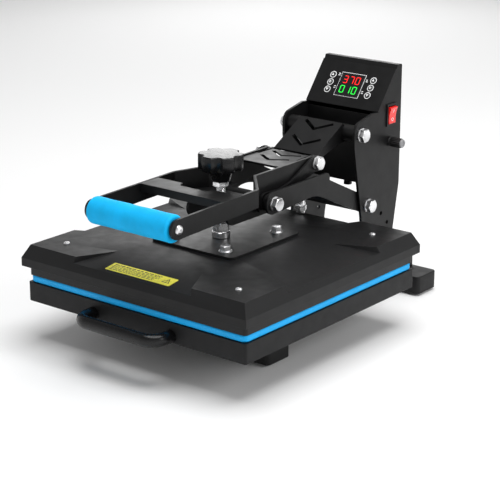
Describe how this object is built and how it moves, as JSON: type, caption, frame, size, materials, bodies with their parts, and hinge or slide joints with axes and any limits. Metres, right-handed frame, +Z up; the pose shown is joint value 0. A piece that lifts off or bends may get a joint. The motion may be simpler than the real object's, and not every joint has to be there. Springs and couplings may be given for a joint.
{
  "type": "heat press",
  "caption": "Clamshell heat press: hinged upper platen under a toggle handle, slide-out lower platen with a silicone mat, control tower with display, pressure knob and foam grip.",
  "frame": {"origin": "on the floor, under the middle of the machine's outer box", "axes": "+Z up, +Y towards the control tower at the back, +X to the machine's right seen by the user in front"},
  "size_m": [0.38, 0.55, 0.325],
  "materials": {
    "black_steel": "satin",
    "cover_steel": "fine texture",
    "matte_steel": "matte",
    "foot_rubber": "matte",
    "zinc": "bright",
    "chrome": "polished",
    "platen_alloy": "coated, satin",
    "insulation": "matte",
    "blue_silicone": "matte",
    "blue_foam": "matte",
    "gloss_black": "gloss",
    "black_plastic": "satin",
    "switch_red": "gloss",
    "key_grey": "satin",
    "display_black": "gloss",
    "digits_red": "lit",
    "digits_green": "lit",
    "label_yellow": "satin"
  },
  "bodies": {
    "base": {"front_foot": "matte_steel", "rear_foot": "matte_steel", "foot_pads": "foot_rubber", "base_rail_right": "black_steel", "base_rail_left": "black_steel", "tower_plate_left": "black_steel", "tower_plate_right": "black_steel", "tower_bolts": "zinc", "control_housing": "black_steel", "control_panel": "black_steel", "display_window": "display_black", "temperature_digits": "digits_red", "timer_digits": "digits_green", "switch_bezel": "black_plastic", "fuse_holder": "black_plastic", "cord_gland": "black_plastic", "top_pivot_bolt": "zinc", "arm_pivot_bolt": "zinc"},
    "drawer": {"lower_tray": "matte_steel", "silicone_mat": "blue_silicone", "drawer_runners": "zinc", "pull_handle": "gloss_black"},
    "press_arm": {"arm_plate_right": "black_steel", "arm_plate_left": "black_steel", "arm_pivot_tube": "black_steel", "handle_pivot_tube": "black_steel", "handle_pivot_bolt": "zinc", "press_yoke": "black_steel"},
    "platen": {"heat_platen": "platen_alloy", "insulation_board": "insulation", "platen_cover": "cover_steel", "warning_label": "label_yellow", "mounting_plate": "black_steel", "mounting_bolts": "zinc", "cover_screws": "zinc", "platen_gland": "chrome", "swivel_nut": "chrome"},
    "screw": {"pressure_screw": "chrome", "knob_lock_nut": "chrome", "pressure_knob": "gloss_black"},
    "handle": {"handle_bar_right": "black_steel", "handle_bar_left": "black_steel", "handle_cheek_right": "black_steel", "handle_cheek_left": "black_steel", "knuckle_bolts": "zinc", "handle_bridge": "black_steel", "handle_cross_plate": "black_steel", "grip_core": "zinc", "foam_grip": "blue_foam", "grip_bolts": "zinc"},
    "link": {"upper_link": "black_steel", "link_pivot_tube": "black_steel"},
    "rocker": {"rocker_switch": "switch_red"},
    "button_left_1": {"key_left_1": "key_grey"},
    "button_left_2": {"key_left_2": "key_grey"},
    "button_left_3": {"key_left_3": "key_grey"},
    "button_right_1": {"key_right_1": "key_grey"},
    "button_right_2": {"key_right_2": "key_grey"},
    "button_right_3": {"key_right_3": "key_grey"}
  },
  "joints": [
    {"name": "drawer_slide", "type": "slide", "parent": "base", "child": "drawer", "axis": [0, -1, 0], "range_m": [0, 0.22]},
    {"name": "arm_lift", "type": "hinge", "parent": "base", "child": "press_arm", "pos_m": [0, 0.1943, 0.1326], "axis": [-1, 0, 0], "range_deg": [0, 18]},
    {"name": "handle_lift", "type": "hinge", "parent": "press_arm", "child": "handle", "pos_m": [0, -0.0173, 0.1828], "axis": [-1, 0, 0], "range_deg": [0, 28.5]},
    {"name": "link_swing", "type": "hinge", "parent": "base", "child": "link", "pos_m": [0, 0.174, 0.2394], "axis": [1, 0, 0], "range_deg": [0, 20]},
    {"name": "platen_height", "type": "slide", "parent": "press_arm", "child": "platen", "axis": [0, 0, 1], "range_m": [0, 0.006]},
    {"name": "knob_turn", "type": "hinge", "parent": "platen", "child": "screw", "pos_m": [0, -0.057, 0.2], "axis": [0, 0, 1], "range_deg": [0, 1080]},
    {"name": "switch_rock", "type": "hinge", "parent": "base", "child": "rocker", "pos_m": [0.0632, 0.2465, 0.2555], "axis": [0, -1, 0], "range_deg": [0, 16]},
    {"name": "press_left_1", "type": "slide", "parent": "base", "child": "button_left_1", "axis": [0, 0.7891, -0.6143], "range_m": [0, 0.0005], "stiffness_N_per_m": 400, "springref_m": -0.0005},
    {"name": "press_left_2", "type": "slide", "parent": "base", "child": "button_left_2", "axis": [0, 0.7891, -0.6143], "range_m": [0, 0.0005], "stiffness_N_per_m": 400, "springref_m": -0.0005},
    {"name": "press_left_3", "type": "slide", "parent": "base", "child": "button_left_3", "axis": [0, 0.7891, -0.6143], "range_m": [0, 0.0005], "stiffness_N_per_m": 400, "springref_m": -0.0005},
    {"name": "press_right_1", "type": "slide", "parent": "base", "child": "button_right_1", "axis": [0, 0.7891, -0.6143], "range_m": [0, 0.0005], "stiffness_N_per_m": 400, "springref_m": -0.0005},
    {"name": "press_right_2", "type": "slide", "parent": "base", "child": "button_right_2", "axis": [0, 0.7891, -0.6143], "range_m": [0, 0.0005], "stiffness_N_per_m": 400, "springref_m": -0.0005},
    {"name": "press_right_3", "type": "slide", "parent": "base", "child": "button_right_3", "axis": [0, 0.7891, -0.6143], "range_m": [0, 0.0005], "stiffness_N_per_m": 400, "springref_m": -0.0005}
  ],
  "couplings": [
    {"joint": "handle_lift", "follows": "arm_lift", "ratio": 1.5833},
    {"joint": "link_swing", "follows": "arm_lift", "ratio": 1.1111},
    {"joint": "knob_turn", "follows": "platen_height", "rad_per_m": 3141.6}
  ]
}
